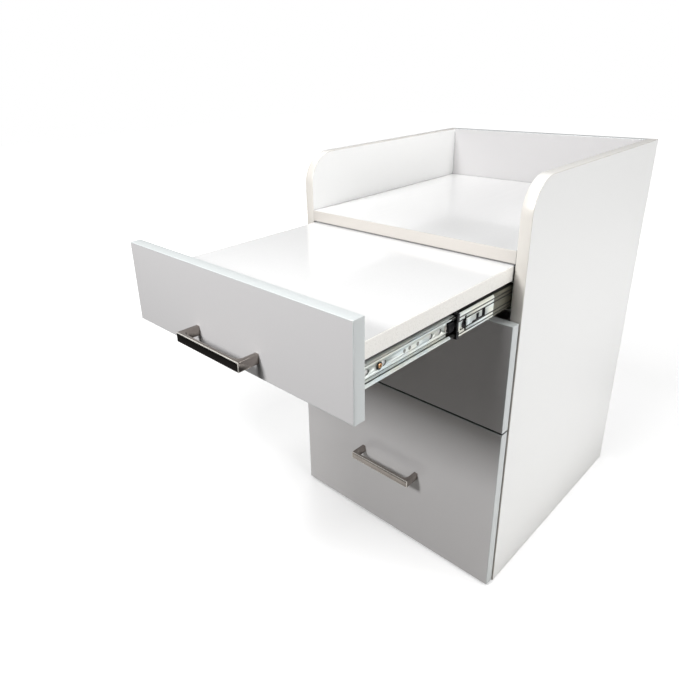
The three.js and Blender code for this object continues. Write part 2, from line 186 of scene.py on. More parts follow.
def chipboard():
    """A raw sawn edge: pressed chips in several browns."""
    s = Shader("raw_chipboard", Roughness=0.85, Specular_IOR_Level=0.2)
    chips = s.cells(0.0028, (1, 0.5, 1))
    grain = s.noise(0.0015, detail=5)
    pale, mid, dark = (0.55, 0.4, 0.25), (0.4, 0.27, 0.15), (0.2, 0.12, 0.06)
    s.drive("Base Color", s.ramp(grain, (0.32, dark), (0.5, mid), (0.66, pale)))
    s.bump(chips, 0.3 * MM, 0.7)
    return s.material


def hardboard():
    """Thin white-faced fibreboard."""
    s = Shader("hardboard_white", Roughness=0.55)
    fibres = s.noise(0.004, detail=6)
    s.drive("Base Color", s.ramp(fibres, (0.3, (0.66, 0.64, 0.6)), (0.7, (0.74, 0.72, 0.69))))
    s.bump(s.noise(0.0009, detail=4), 0.06 * MM, 0.6)
    return s.material


def metal(name, colour, roughness, tint=None, along=(1, 0.03, 1), lines=0.0006, scratch=0.5, metallic=1.0):
    """Plated metal: drawing lines along one axis, cloudy plating colour and uneven polish."""
    s = Shader(name, Metallic=metallic, Roughness=roughness)
    plating = s.noise(0.02, (1, 0.5, 1), detail=4)
    s.drive("Base Color", s.ramp(plating, (0.35, colour), (0.65, tint or shade(colour, 0.92))))
    drawn = s.noise(lines, along, detail=4, rough=0.6)
    s.drive("Roughness", s.remap(drawn, roughness * 0.75, roughness * 1.3))
    s.bump(drawn, 0.01 * MM, scratch)
    return s.material


def plastic(name, colour, roughness=0.42):
    """Moulded plastic with a fine grain."""
    s = Shader(name, Roughness=roughness, Specular_IOR_Level=0.25)
    s.drive("Base Color", s.ramp(s.noise(0.01), (0.3, colour), (0.7, shade(colour, 1.3))))
    s.drive("Roughness", s.remap(s.noise(0.002), roughness * 0.85, roughness * 1.2))
    s.bump(s.noise(0.0004, detail=2), 0.02 * MM, 0.5)
    return s.material


def rail():
    """A white batten whose uncovered strip above the slide is painted dark, as painted shade in the gap under
    the table top.
    """
    s = Shader("table_rail", Roughness=0.45)
    slide_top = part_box("table_slide_inner_right")[1].z
    height = s.node("ShaderNodeSeparateXYZ", {0: s.place()}).outputs["Z"]
    painted_shade_share = s.remap(height, 0, 1, slide_top - 1 * MM, slide_top)
    # Painted shade: dark above the slide's top.
    s.drive("Base Color", s.ramp(painted_shade_share, (0, (0.8, 0.8, 0.79)), (1, (0.03, 0.03, 0.028))))
    s.bump(s.noise(0.0012, detail=3), 0.02 * MM, 0.5)
    return s.material


WHITE = (0.92, 0.92, 0.91)
GREY = (0.627, 0.617, 0.62)
M = {
    "white": laminate("white_melamine", WHITE, 0.3),
    "white_gloss": gloss("white_gloss_laminate", (0.82, 0.82, 0.82)),
    "grey": laminate("grey_melamine", GREY, 0.26),
    # The back panel is the fronts' grey painted darker, as painted shade.
    "back_grey_painted_shade": laminate("back_panel_melamine", shade(GREY, 0.92), 0.3),
    "box": laminate("drawer_box_melamine", (0.8, 0.8, 0.79), 0.42),
    # The white bands carry painted light: warm and darker where upright, paler where they look up.
    "white_band": edge_band("white_edge_band", (0.7, 0.672, 0.628), crease=0, upper=(0.84, 0.82, 0.79)),
    "warm_band": edge_band("warm_white_edge_band", (0.92, 0.897, 0.851), 0.28),
    # The worktop's band is the warm band painted darker, as painted shade against the key light on its front.
    "worktop_band": edge_band("worktop_edge_band", (0.594, 0.564, 0.527), 0.3),
    "grey_band": edge_band("grey_edge_band", (0.63, 0.66, 0.66)),
    "back_band": edge_band("back_panel_edge_band", (0.66, 0.68, 0.68), crease=0),
    "raw": chipboard(),
    "hardboard": hardboard(),
    "nickel": metal("dark_nickel", (0.36, 0.325, 0.295), 0.13, (0.3, 0.27, 0.25), (0.03, 1, 1), 0.0005, 0.25),
    "zinc": metal("bright_zinc", (0.84, 0.93, 0.95), 0.4, (0.93, 0.93, 0.83), scratch=0.06, metallic=0.4),
    # A darker copy of the zinc, painted on the members as shade.
    "olive_painted_shade_zinc": metal("shaded_zinc", (0.2, 0.19, 0.15), 0.35, (0.26, 0.26, 0.21), scratch=0.06),
    # A black material painted on slide faces as shade.
    "black_painted_shade": plastic("track_painted_shade", (0.02, 0.02, 0.018), 0.35),
    "rail": rail(),
    "polish": metal("polished_nickel", (0.86, 0.83, 0.77), 0.3, scratch=0.05, metallic=0.5),
    "dull_zinc": metal("dull_zinc", (0.3, 0.31, 0.3), 0.4, (0.24, 0.24, 0.22), scratch=0.1),
    "copper": metal("yellow_zinc", (0.72, 0.4, 0.22), 0.25, (0.78, 0.5, 0.25), scratch=0.3),
    "black": plastic("black_plastic", (0.012, 0.012, 0.014)),
}


# ---- meshes and pieces -------------------------------------------------------------------------

def add_extra(name, mesh, body, matrix):
    """A piece that has no CAD node, on a body of the frame."""
    obj = bpy.data.objects.new(name, mesh)
    bpy.context.scene.collection.objects.link(obj)
    obj.matrix_world = matrix
    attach(obj, body)
    return obj


def stand_in(node, mesh, matrix=Matrix.Identity(4)):
    """A piece named after the CAD node it stands for, on the same body."""
    obj = add_extra(node + "_visual", mesh, NODE_BODY[node], matrix)
    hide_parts(node)


def finish_mesh(bm, name, materials, smooth_angle=35):
    """A mesh from `bm`, smooth but for edges sharper than `smooth_angle` degrees. Frees `bm`."""
    bmesh.ops.remove_doubles(bm, verts=bm.verts, dist=1e-7)
    bmesh.ops.recalc_face_normals(bm, faces=bm.faces)
    for face in bm.faces:
        face.smooth = True
    limit = math.radians(smooth_angle)
    for edge in bm.edges:
        edge.smooth = len(edge.link_faces) == 2 and edge.calc_face_angle(0) < limit
    mesh = bpy.data.meshes.new(name)
    bm.to_mesh(mesh)
    bm.free()
    for material in materials:
        mesh.materials.append(material)
    return mesh


def loft(bm, rings, cap=True):
    """Quads between rings of equal length, and a face on each end. Returns (walls, caps)."""
    rows = [[bm.verts.new(p) for p in ring] for ring in rings]
    walls = []
    for a, b in zip(rows, rows[1:]):
        for i in range(len(a)):
            j = (i + 1) % len(a)
            walls.append(bm.faces.new((a[i], a[j], b[j], b[i])))
    caps = [bm.faces.new(rows[0][::-1]), bm.faces.new(rows[-1])] if cap else []
    return walls, caps


def inset_outline(points, amount):
    """A convex outline, anticlockwise, moved inwards by `amount` with mitred corners."""
    moved = []
    for i, point in enumerate(points):
        before = (point - points[i - 1]).normalized()
        after = (points[(i + 1) % len(points)] - point).normalized()
        normal = Vector((-before.y - after.y, before.x + after.x)).normalized()
        along = Vector((-before.y, before.x))
        moved.append(point + normal * (amount / max(normal.dot(along), 0.2)))
    return moved


def arc(centre, radius, start, stop, steps):
    """Points on a circle from `start` to `stop` degrees."""
    angles = [math.radians(start + (stop - start) * i / steps) for i in range(steps + 1)]
    return [Vector((centre[0] + radius * math.cos(a), centre[1] + radius * math.sin(a))) for a in angles]


# ---- boards ------------------------------------------------------------------------------------

BAND = 1.0 * MM  # thickness of an edge band, seen as a thin frame round each face
SEAM = 0.08 * MM  # the glue line between a face and its band
ARRIS = 0.8 * MM  # how far a band's edges are rounded
ARRIS_STEPS = 4


def vectors(*points):
    return [Vector(point) for point in points]


def rectangle(low, high):
    return vectors((low[0], low[1]), (high[0], low[1]), (high[0], high[1]), (low[0], high[1]))


def board_mesh(name, low, high, axis, face, band, outline=None, raw=None, arris=ARRIS):
    """A laminated board, thin along `axis`, with rounded edge bands and a seam round both faces.

    The edges that face along `raw` (a direction) are bare chipboard instead.
    """
    u, v = (axis + 1) % 3, (axis + 2) % 3
    points = outline or rectangle((low[u], low[v]), (high[u], high[v]))
    section = [(BAND, 0), (BAND, SEAM), (BAND - SEAM, SEAM), (BAND - SEAM, 0)]
    for step in range(ARRIS_STEPS + 1):
        turn = math.radians(90 * step / ARRIS_STEPS)
        section.append((arris * (1 - math.sin(turn)), arris * (1 - math.cos(turn))))
    thickness = high[axis] - low[axis]
    section += [(inset, thickness - depth) for inset, depth in reversed(section)]
    rings = []
    for inset, depth in section:
        ring = []
        for point in inset_outline(points, inset):
            place = [0, 0, 0]
            place[axis], place[u], place[v] = high[axis] - depth, point.x, point.y
            ring.append(place)
        rings.append(ring)
    bm = bmesh.new()
    walls, _ = loft(bm, rings)
    bm.normal_update()
    bmesh.ops.recalc_face_normals(bm, faces=bm.faces)
    for wall in walls:
        wall.material_index = 1
        if raw and wall.normal.dot(Vector(raw)) > 0.9:
            wall.material_index = 2
    return finish_mesh(bm, name, [face, band, M["raw"]][: 3 if raw else 2])


def add_board(node, axis, face, band, **options):
    low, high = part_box(node)
    stand_in(node, board_mesh(node + "_visual", low, high, axis, face, band, **options))


X, Y, Z = 0, 1, 2
DOWN = (0, 0, -1)
SIDE_CORNER = 50 * MM  # radius of a side panel's front top corner


def side_outline(node):
    """A side panel in (y, z), anticlockwise, with its front top corner rounded."""
    low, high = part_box(node)
    corner = (low.y + SIDE_CORNER, high.z - SIDE_CORNER)
    sharp = vectors((low.y, low.z), (high.y, low.z), (high.y, high.z))
    return sharp + arc(corner, SIDE_CORNER, 90, 180, 40)


def add_boards():
    for name, _ in SIDES:
        node = name + "_side_panel"
        add_board(node, X, M["white"], M["white_band"], outline=side_outline(node), raw=DOWN)
    add_board("worktop", Z, M["white_gloss"], M["worktop_band"])
    add_board("bottom_panel", Z, M["white"], M["white_band"])
    add_board("back_panel", Y, M["back_grey_painted_shade"], M["back_band"], raw=DOWN)
    add_board("table_top", Z, M["white_gloss"], M["warm_band"])
    for name, _ in SIDES:
        add_board("table_rail_" + name, X, M["rail"], M["white_band"])
    for runner in RUNNERS:
        add_board(runner + "_front", Y, M["grey"], M["grey_band"])
    for drawer in DRAWERS:
        for name, _ in SIDES:
            add_board(f"{drawer}_box_{name}", X, M["box"], M["white_band"], raw=DOWN)
        add_board(drawer + "_box_front", Y, M["box"], M["white_band"], raw=DOWN)
        add_board(drawer + "_box_back", Y, M["box"], M["white_band"], raw=DOWN)
        add_board(drawer + "_box_bottom", Z, M["hardboard"], M["raw"], arris=0.3 * MM)


# ---- handles -----------------------------------------------------------------------------------

HANDLE_LEG = 6.6 * MM
HANDLE_BAR = 5.0 * MM
HANDLE_FILLET = 9.0 * MM  # the rounded inner corners
HANDLE_BEVEL = 1.0 * MM
CREASE_ANGLE = 0.5  # radians past which an edge counts as sharp


def handle_mesh():
    """A square bow in (x, y), mounting face at y = 0, extruded along z with polished bevels."""
    low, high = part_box("table_handle")
    half, depth, height = (high.x - low.x) / 2, high.y - low.y, high.z - low.z
    leg, front = half - HANDLE_LEG, -depth
    fillet_x, fillet_y = leg - HANDLE_FILLET, front + HANDLE_BAR + HANDLE_FILLET
    outline = vectors((-half, 0), (-half, front), (half, front), (half, 0), (leg, 0))
    outline += arc((fillet_x, fillet_y), HANDLE_FILLET, 0, -90, 10)
    outline += arc((-fillet_x, fillet_y), HANDLE_FILLET, -90, -180, 10)
    outline.append(Vector((-leg, 0)))
    bm = bmesh.new()
    loft(bm, [[(p.x, p.y, z) for p in outline] for z in (-height / 2, height / 2)])
    bmesh.ops.recalc_face_normals(bm, faces=bm.faces)
    # Every sharp edge is bevelled but those that lie against the drawer's front.
    sharp = []
    for edge in bm.edges:
        ends = [v.co.y for v in edge.verts]
        stands_off = max(ends) < -1e-6 or max(ends) - min(ends) > 10 * MM
        if stands_off and edge.calc_face_angle(0) > CREASE_ANGLE:
            sharp.append(edge)
    made = bmesh.ops.bevel(bm, geom=sharp, offset=HANDLE_BEVEL, segments=2, profile=0.5, affect="EDGES")
    for face in made["faces"]:
        face.material_index = int(face.calc_center_median().y < front + HANDLE_BEVEL)
    return finish_mesh(bm, "handle", [M["nickel"], M["polish"]], 25)


def add_handles():
    mesh = handle_mesh()
    for runner in RUNNERS:
        low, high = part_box(runner + "_handle")
        place = Matrix.Translation(((low.x + high.x) / 2, high.y, (low.z + high.z) / 2))
        stand_in(runner + "_handle", mesh, place)


# ---- screws ------------------------------------------------------------------------------------

THREAD_PITCH = 1.2 * MM
HANDLE_SCREW = {"radius": 2 * MM, "head": 4 * MM, "thick": 2.4 * MM}
SLIDE_SCREW = {"radius": 1.7 * MM, "head": 3.2 * MM, "thick": 1.6 * MM}
WASHER_THICK = 0.55 * MM
WASHER_SHIFT = 0.9 * MM  # how far a washer sits off its screw's axis, towards the front; the washer is real, and its offset shows its black on the head's shaded side as painted shade


def lathe(bm, profile, sides=28):
    """Turns (radius, z) points round z. The profile starts and ends on the axis."""
    start = bm.verts.new((0, 0, profile[0][1]))
    stop = bm.verts.new((0, 0, profile[-1][1]))
    rings = []
    for radius, z in profile[1:-1]:
        angles = [2 * math.pi * i / sides for i in range(sides)]
        rings.append([bm.verts.new((radius * math.cos(a), radius * math.sin(a), z)) for a in angles])
    for i in range(sides):
        j = (i + 1) % sides
        bm.faces.new((start, rings[0][j], rings[0][i]))
        bm.faces.new((stop, rings[-1][i], rings[-1][j]))
        for a, b in zip(rings, rings[1:]):
            bm.faces.new((a[i], a[j], b[j], b[i]))
    bmesh.ops.recalc_face_normals(bm, faces=bm.faces)


def combine(mesh, other, operation):
    """The boolean of two meshes in the same frame: DIFFERENCE or UNION."""
    objects = [bpy.data.objects.new("operand", data) for data in (mesh, other)]
    for obj in objects:
        bpy.context.scene.collection.objects.link(obj)
    modifier = objects[0].modifiers.new("combine", "BOOLEAN")
    modifier.object = objects[1]
    modifier.operation = operation
    modifier.solver = "EXACT"
    modifier.material_mode = "TRANSFER"
    modifier.use_self = True
    graph = bpy.context.evaluated_depsgraph_get()
    result = bpy.data.meshes.new_from_object(objects[0].evaluated_get(graph))
    for obj in objects:
        bpy.data.objects.remove(obj)
    result.name = mesh.name
    return result


def box_into(bm, low, high):
    section = rectangle(low[1:], high[1:])
    loft(bm, [[(x, p.x, p.y) for p in section] for x in (low[0], high[0])])


def screw_mesh(name, radius, head, thick, length, material):
    """A pan-head screw along z: the head's underside at z = 0, its shank down to -length, with a cross."""
    dome = []
    for degrees in (0, 20, 40, 60, 78):
        turn = math.radians(degrees)
        dome.append((head * math.cos(turn), thick * (0.35 + 0.65 * math.sin(turn))))
    thread, core = [], radius * 0.8
    for i in range(int((length - 2 * radius) / THREAD_PITCH)):
        z = -i * THREAD_PITCH - 0.2 * MM
        thread += [(core, z), (radius, z - THREAD_PITCH * 0.35), (core, z - THREAD_PITCH * 0.7)]
    tip = [(0, -length), (radius * 0.2, -length + 0.2 * MM)]
    rim = [(core, 0), (head * 0.96, 0), (head, 0.1 * thick)]
    bm = bmesh.new()
    lathe(bm, tip + thread[::-1] + rim + dome + [(0, thick)])
    mesh = finish_mesh(bm, name, [material], 40)
    cross = bmesh.new()
    arm, reach, deep = 0.13 * head, 0.55 * head, 0.35 * thick
    box_into(cross, (-reach, -arm, deep), (reach, arm, 2 * thick))
    box_into(cross, (-arm, -reach, deep), (arm, reach, 2 * thick))
    return combine(mesh, finish_mesh(cross, "cross", [material]), "DIFFERENCE")


AIM = {
    "+X": Matrix.Rotation(math.pi / 2, 4, "Y"),
    "-X": Matrix.Rotation(-math.pi / 2, 4, "Y"),
    "+Y": Matrix.Rotation(-math.pi / 2, 4, "X"),
}


def add_screws():
    for runner in RUNNERS:
        low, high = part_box(runner + "_handle_screw_left")
        shank = high.y - low.y - HANDLE_SCREW["thick"]
        mesh = screw_mesh(runner + "_handle_screw", length=shank, material=M["zinc"], **HANDLE_SCREW)
        for name, _ in SIDES:
            low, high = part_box(f"{runner}_handle_screw_{name}")
            seat = ((low.x + high.x) / 2, high.y - HANDLE_SCREW["thick"], (low.z + high.z) / 2)
            stand_in(f"{runner}_handle_screw_{name}", mesh, Matrix.Translation(seat) @ AIM["+Y"])
    thick = SLIDE_SCREW["thick"]
    mesh = screw_mesh("slide_screw", length=13 * MM, material=M["copper"], **SLIDE_SCREW)
    washer = washer_mesh(WASHER_THICK)
    for name, side in SIDES:
        node = "table_slide_screw_" + name
        low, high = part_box(node)
        head = high.x if side > 0 else low.x
        place = Matrix.Translation((head - side * thick, (low.y + high.y) / 2, (low.z + high.z) / 2))
        turn = AIM["+X"] if side > 0 else AIM["-X"]
        stand_in(node, mesh, place @ turn)
        over = Matrix.Translation((0, 0, BAND_STEP["inner"][1] * MM))
        off_axis = Matrix.Translation((0, -WASHER_SHIFT, 0))
        add_extra("table_slide_washer_" + name, washer, "table", off_axis @ place @ turn @ over)


def washer_mesh(thick):
    """A black washer that stands on z = 0."""
    outside = ((4.3, 0.0), (4.6, 0.2), (4.6, 0.6), (4.3, 0.95))  # radius in mm, share of the thickness
    bore = ((3.0, 0.95), (2.8, 0.7), (2.8, 0.2), (2.9, 0.0))
    angles = [2 * math.pi * i / 32 for i in range(32)]
    bm = bmesh.new()
    rings = []
    for radius, share in outside + bore:
        rings.append([(radius * MM * math.cos(a), radius * MM * math.sin(a), share * thick) for a in angles])
    loft(bm, rings + rings[:1], cap=False)
    return finish_mesh(bm, "washer", [M["black"]])


# ---- ball-bearing slides -----------------------------------------------------------------------
# A member is drawn in its own frame, as fitted on the right: x is 0 at the side panel and negative
# towards the drawer, y runs from its front end, z is measured from its centre line.

# For each member, in mm: sheet thickness, half height, the web's and the lip's distance from the panel, the
# web's corner radius, and the ball track's middle, half width and depth.
MEMBERS = {
    "outer": dict(sheet=1.2, half=20.4, web=0.7, lip=10.2, corner=2, track=6, reach=1.5, roll=0.6),
    "middle": dict(sheet=1.0, half=16.3, web=2.8, lip=11, corner=3.2, track=8.4, reach=1.5, roll=-0.6),
    "inner": dict(sheet=1.2, half=12.5, web=12, lip=4.3, corner=1.2, track=6.6, reach=1.9, roll=-1.6),
}
LENGTHS = {"outer": 400 * MM, "middle": 360 * MM, "inner": 400 * MM}
# Lines pressed along each web, in (height, depth, half width): a negative depth stands out.
WEB_LINES = {
    "outer": ((9, 0.3, 0.8),),
    "middle": ((10.9, 0.5, 0.9), (5.9, 0.5, 0.9)),
    "inner": (),
}
# Half height and rise of the raised band along a web.
BAND_STEP = {"outer": (0, 0), "middle": (0, 0), "inner": (8.2, 0.45)}
SHADED_FROM = {"outer": 400, "middle": 79, "inner": 174}  # mm along a member from where its tracks are painted dark, as painted shade
BRIGHT, PAINTED_SHADE_BLACK, SHADED = 0, 1, 2  # a member's looks, in the order of its materials: bright zinc, then black and olive painted shade


def flange_line(kind):
    """The sheet's centre line, in (x, z), from the upper lip down the web to the centre line."""
    m = MEMBERS[kind]
    flat, web = m["half"] - m["sheet"] / 2, m["web"]
    towards = 1 if web > m["lip"] else -1
    points = [(m["lip"], flat)]
    for i in range(11):
        share = i / 10
        x = m["track"] + towards * m["reach"] * (2 * share - 1)
        points.append((x, flat + m["roll"] * math.sin(math.pi * share) ** 2))
    for i in range(7):
        turn = math.radians(15 * i)
        x = web - towards * m["corner"] * (1 - math.sin(turn))
        points.append((x, flat - m["corner"] * (1 - math.cos(turn))))
    for height, depth, half in WEB_LINES[kind]:
        points += [(web, height + half), (web + depth, height + 0.15)]
        points += [(web + depth, height - 0.15), (web, height - half)]
    band, rise = BAND_STEP[kind]
    if rise:
        points += [(web, band + 0.5), (web - rise, band - 0.5)]
    return [Vector(p) * MM for p in points]


def member_outline(kind):
    """The closed section of a member, in (x, z)."""
    upper = flange_line(kind)
    line = upper + [Vector((p.x, -p.y)) for p in reversed(upper)]
    sides = ([], [])
    for i, point in enumerate(line):
        along = (line[min(i + 1, len(line) - 1)] - line[max(i - 1, 0)]).normalized()
        normal = Vector((-along.y, along.x)) * MEMBERS[kind]["sheet"] / 2 * MM
        sides[0].append(point + normal)
        sides[1].append(point - normal)
    return sides[0] + sides[1][::-1]


TAB_LENGTH = 2.6 * MM  # how far the middle member's tab stands in front of it
CUT_REACH = 2  # mm that a cutter goes to each side of a web


def cutter(bm, kind, points):
    """A prism through a member's web, with its outline in (y, z), in mm."""
    web = MEMBERS[kind]["web"]
    loft(bm, [[(x * MM, p.x * MM, p.y * MM) for p in points] for x in (-web - CUT_REACH, -web + CUT_REACH)])


def slot_into(bm, kind, y, length, radius):
    """A round-ended slot along y, or a hole where `length` is 0."""
    far = arc((y + length / 2, 0), radius, -90, 90, 12)
    near = arc((y - length / 2, 0), radius, 90, 270, 12)
    cutter(bm, kind, far + near)


def dimple_into(bm, y, z, radius, depth, face):
    """A shallow round-bottomed press mark in the web face that stands `face` from the panel."""
    rings = []
    for i, share in enumerate((0.08, 0.35, 0.65, 0.88, 1.0, 1.0)):
        x = -face - depth * (1 - share * share) if i < 5 else -face + 0.5
        circle = arc((0, 0), radius * share, 0, 345, 23)
        rings.append([(x * MM, (y + p.x) * MM, (z + p.y) * MM) for p in circle])
    loft(bm, rings)


def zinc_or_painted_shade(kind, face):
    """Which of a member's three looks a face has: bright zinc, or black or olive painted shade."""
    centre, normal = face.calc_center_median() / MM, face.normal
    height, depth = abs(centre.z), -centre.x
    lines = [line[0] for line in WEB_LINES[kind]] + [BAND_STEP[kind][0]]
    # Pressed lines and the band's step are painted black, as shade in their creases.
    if abs(normal.x) > 0.3 and any(abs(height - line) < 0.6 for line in lines if line):
        return PAINTED_SHADE_BLACK
    # In the inner member, the strip behind the ridge and the channel past the lever are painted black, as
    # shade.
    if kind == "inner":
        inwards = centre.z * normal.z < 0 and height < 12
        channel = inwards or (normal.x > 0.5 and height > 5)
        behind_ridge = abs(depth - 9.4) < 0.9
        dark = (inwards and behind_ridge) or (channel and centre.y > SHADED_FROM[kind])
        return PAINTED_SHADE_BLACK if dark else BRIGHT
    # The middle member's outermost flange faces are painted black, as shade.
    if kind == "middle" and abs(normal.z) > 0.85 and height > 14:
        return PAINTED_SHADE_BLACK
    # Past SHADED_FROM, the rest is painted olive, as the shade of the cabinet.
    return SHADED if centre.y > SHADED_FROM[kind] else BRIGHT


def member_mesh(kind, cutters, extra=None):
    """A rolled section with its web pierced by `cutters`, and `extra` joined to it."""
    bm = bmesh.new()
    outline = member_outline(kind)
    stations = (0, SHADED_FROM[kind] * MM, LENGTHS[kind]) if kind != "outer" else (0, LENGTHS[kind])
    loft(bm, [[(-p.x, y, p.y) for p in outline] for y in stations])
    bmesh.ops.recalc_face_normals(bm, faces=bm.faces)
    for face in bm.faces:
        face.material_index = zinc_or_painted_shade(kind, face)
    mesh = finish_mesh(bm, kind + "_member", [M["zinc"], M["black_painted_shade"], M["olive_painted_shade_zinc"]], 30)
    tool = bmesh.new()
    cutters(tool)
    mesh = combine(mesh, finish_mesh(tool, "tool", [M["dull_zinc"]]), "DIFFERENCE")
    return combine(mesh, extra, "UNION") if extra else mesh


def outer_cuts(bm):
    for y in (35, 230, 370):
        slot_into(bm, "outer", y, 0, 2.3)
    for y in (70, 130, 300):
        slot_into(bm, "outer", y, 6, 2.3)


def middle_cuts(bm):
    front_slot = vectors((11.5, 9.5), (11.5, 5.4)) + arc((9.7, 0), 5.4, 90, 270, 16)
    front_slot += vectors((11.5, -5.4), (11.5, -11.5), (15, -11.5), (15, 9.5))
    cutter(bm, "middle", front_slot)
    hook = vectors((29, -5.8), (58.5, -5.8), (58.5, 5.4), (51, 5.4), (51, -3.2), (44, -3.2), (44, 4))
    hook += vectors((37.5, 4), (37.5, -3.2), (29, -3.2))
    cutter(bm, "middle", hook)
    cutter(bm, "middle", rectangle((300, -4), (330, 4)))
    slot_into(bm, "middle", 200, 10, 2.3)


def front_tab():
    """The tongue that stands forward of the middle member's web, its end curled a little outwards."""
    spine = [(2.8, 1.5), (2.8, -1.2), (2.6, -1.9), (2.3, -2.2)]
    outer = [(x - 0.5, y) for x, y in spine]
    inner = [(x + 0.45, y - 0.25 * (i > 1)) for i, (x, y) in enumerate(spine)]
    bm = bmesh.new()
    loft(bm, [[(-x * MM, y * MM, z * MM) for x, y in outer + inner[::-1]] for z in (-7, 5)])
    return finish_mesh(bm, "tab", [M["zinc"]])


LEVER_STOP = 171.4  # mm from the inner member's front end


def lever_stop():
    """The cross-shaped stop pressed out of the inner member in front of the lever."""
    points = [(-0.9, -4.6), (0.9, -4.6), (0.9, -1.6), (1.9, -1.6), (1.9, 1.6), (0.9, 1.6)]
    points += [(0.9, 4.6), (-0.9, 4.6), (-0.9, 1.6), (-1.9, 1.6), (-1.9, -1.6), (-0.9, -1.6)]
    bm = bmesh.new()
    loft(bm, [[(x * MM, (LEVER_STOP + y) * MM, z * MM) for y, z in points] for x in (-11.9, -9.8)])
    return finish_mesh(bm, "stop", [M["polish"]])


def inner_cuts(bm):
    for y in (30.2, 58.4, 142.5, 160):
        slot_into(bm, "inner", y, 0, 3.4)
    for y in (330, 360):
        slot_into(bm, "inner", y, 4, 2.3)
    slot_into(bm, "inner", 50.5, 0, 2.3)
    face = MEMBERS["inner"]["web"] - MEMBERS["inner"]["sheet"] / 2 - BAND_STEP["inner"][1]
    for y, z in ((93.5, 0.4), (103, 0.6), (118, 0)):
        dimple_into(bm, y, z, 2.4, 0.35, face)


# In mm: the pivot's place along the inner member, and the lever's sizes. `near` and `far` are the distances
# of its faces from the panel.
LEVER = {"pivot": 196, "hub": 5.0, "hole": 1.8, "reach": 22, "tab": 9, "arm": 3.5, "near": 6.4, "far": 10.8}


def lever_mesh():
    """The release lever: a hub on the inner member's rivet, an arm and a broad ribbed thumb tab."""
    pivot, hub, arm = LEVER["pivot"], LEVER["hub"], LEVER["arm"]
    tip, heel = pivot - LEVER["reach"], pivot - LEVER["reach"] + LEVER["tab"]
    meet = 180 - math.degrees(math.asin(arm / hub))
    points = vectors((tip + 0.8, 6.5), (tip, 5.7), (tip, -5.2), (tip + 0.8, -6), (heel, -6), (heel + 1, -arm))
    points += arc((pivot, 0), hub, -meet, meet, 20)
    points += vectors((heel + 1, arm), (heel, 6.5))
    bm = bmesh.new()
    loft(bm, [[(x * MM, p.x * MM, p.y * MM) for p in points] for x in (-LEVER["far"], -LEVER["near"])])
    bmesh.ops.recalc_face_normals(bm, faces=bm.faces)
    rims = [e for e in bm.edges if e.calc_face_angle(0) > 0.6]
    bmesh.ops.bevel(bm, geom=rims, offset=0.35 * MM, segments=2, profile=0.5, affect="EDGES")
    mesh = finish_mesh(bm, "lever", [M["black"]], 30)
    tool = bmesh.new()
    bore = arc((pivot, 0), LEVER["hole"], 0, 345, 23)
    loft(tool, [[(x * MM, p.x * MM, p.y * MM) for p in bore] for x in (-LEVER["far"] - 1, 1 - LEVER["near"])])
    for i in range(4):
        y = tip + 1.2 + 1.7 * i
        low = ((-LEVER["near"] - 0.5) * MM, y * MM, -4.5 * MM)
        box_into(tool, low, ((1 - LEVER["near"]) * MM, (y + 0.7) * MM, 5 * MM))
    return combine(mesh, finish_mesh(tool, "tool", [M["black"]]), "DIFFERENCE")


def rivet_mesh():
    """The lever's rivet along z, its shank's foot at z = 0."""
    bm = bmesh.new()
    profile = ((0, 0), (1.5, 0), (1.5, 5.95), (2.6, 5.95), (2.5, 6.4), (1.6, 6.75), (0, 6.85))
    lathe(bm, [(radius * MM, z * MM) for radius, z in profile])
    return finish_mesh(bm, "rivet", [M["zinc"]], 40)


def guard_mesh():
    """The black cap on the front end of a middle member, notched for the member's tab."""
    near, face, lip, half, wall = 2.0, 3.9, 10.5, 16.2, 2.6
    points = [(near, -half), (lip, -half), (lip, wall - half), (face, wall - half)]
    points += [(face, half - wall), (lip, half - wall), (lip, half), (near, half)]
    bm = bmesh.new()
    loft(bm, [[(-x * MM, y * MM, z * MM) for x, z in points] for y in (-5.3, -0.3)])
    bmesh.ops.recalc_face_normals(bm, faces=bm.faces)
    rims = [e for e in bm.edges if e.calc_face_angle(0) > 0.6]
    bmesh.ops.bevel(bm, geom=rims, offset=0.3 * MM, segments=2, profile=0.5, affect="EDGES")
    mesh = finish_mesh(bm, "guard", [M["black"]], 30)
    notch = bmesh.new()
    box_into(notch, (-5 * MM, -3.3 * MM, -7.5 * MM), (-1 * MM, 1 * MM, 5.5 * MM))
    return combine(mesh, finish_mesh(notch, "notch", [M["black"]]), "DIFFERENCE")


def cage_mesh():
    """The black ball cage's web, seen through the windows of a middle member: a plate with two holes."""
    bm = bmesh.new()
    points = arc((73, 5.5), 3, 0, 90, 6) + arc((9, 5.5), 3, 90, 180, 6)
    points += arc((9, -5.5), 3, 180, 270, 6) + arc((73, -5.5), 3, 270, 360, 6)
    loft(bm, [[(x * MM, p.x * MM, p.y * MM) for p in points] for x in (-4.1, -3.6)])
    mesh = finish_mesh(bm, "cage", [M["black"]], 30)
    tool = bmesh.new()
    for y in (14, 64):
        hole = arc((0, 0), 2.5, 0, 345, 23)
        loft(tool, [[(x * MM, y * MM + p.x * MM, p.y * MM) for p in hole] for x in (-5, -3)])
    return combine(mesh, finish_mesh(tool, "tool", [M["black"]]), "DIFFERENCE")


def slide_place(runner, part, name, side):
    """The member frame's matrix at rest: right as drawn, left turned half round about y."""
    outer_low, outer_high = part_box(f"{runner}_slide_outer_{name}")
    panel = max(abs(outer_low.x), abs(outer_high.x)) + 0.1 * MM
    low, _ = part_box(f"{runner}_slide_{part}_{name}")
    front = low.y + (TAB_LENGTH if part == "middle" else 0)
    turn = Matrix.Identity(4) if side > 0 else Matrix.Rotation(math.pi, 4, "Y")
    height = (outer_low.z + outer_high.z) / 2
    return Matrix.Translation((side * panel, front, height)) @ turn


